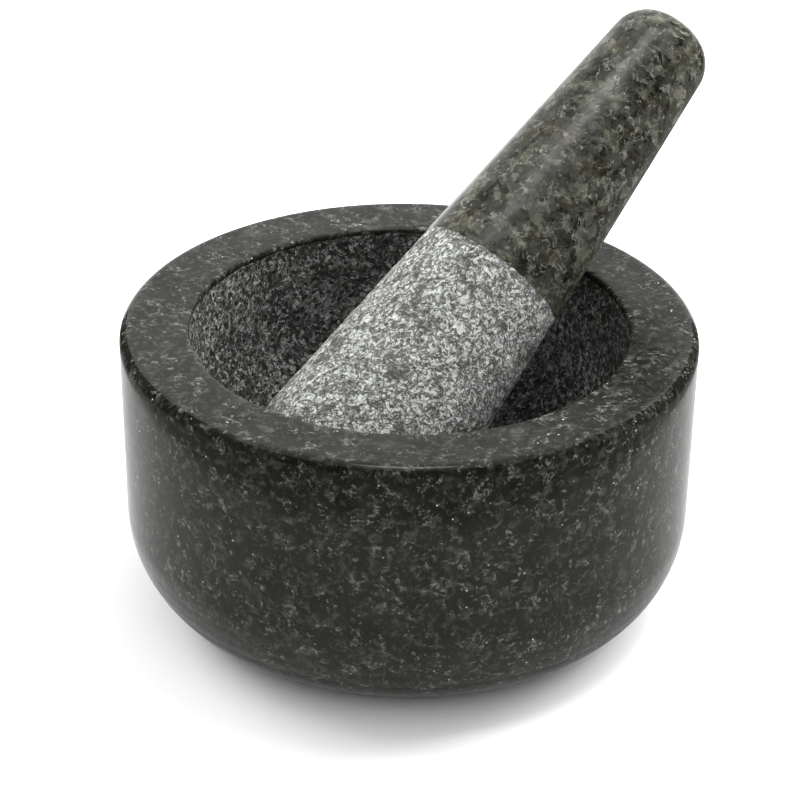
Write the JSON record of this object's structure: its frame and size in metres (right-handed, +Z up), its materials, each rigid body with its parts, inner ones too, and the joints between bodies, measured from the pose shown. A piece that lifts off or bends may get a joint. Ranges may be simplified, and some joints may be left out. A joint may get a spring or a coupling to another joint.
{
  "type": "mortar and pestle",
  "caption": "Flat-footed round stone mortar with a tapered pestle resting in its ground cavity, for crushing spices, seeds and sauces.",
  "frame": {"origin": "centre of the bowl's flat foot, on the surface it stands on", "axes": "+Z up along the bowl's own axis; +X to the right and +Y to the back as seen from the front, with the pestle's handle leaning out of the bowl between +X and +Y"},
  "size_m": [0.1532, 0.1531, 0.1402],
  "materials": {
    "bowl_granite": "dark grey-green granite, polished outside and on the rim, ground rough in the cavity",
    "pestle_granite": "mottled grey, olive and brown granite, polished on the handle and ground pale and rough on the head"
  },
  "bodies": {
    "bowl": {"bowl": "bowl_granite"},
    "pestle": {"pestle": "pestle_granite"}
  },
  "joints": [
    {"name": "pestle_lift", "type": "slide", "parent": "bowl", "child": "pestle", "axis": [0, 0, 1], "range_m": [0, 0.12]}
  ]
}
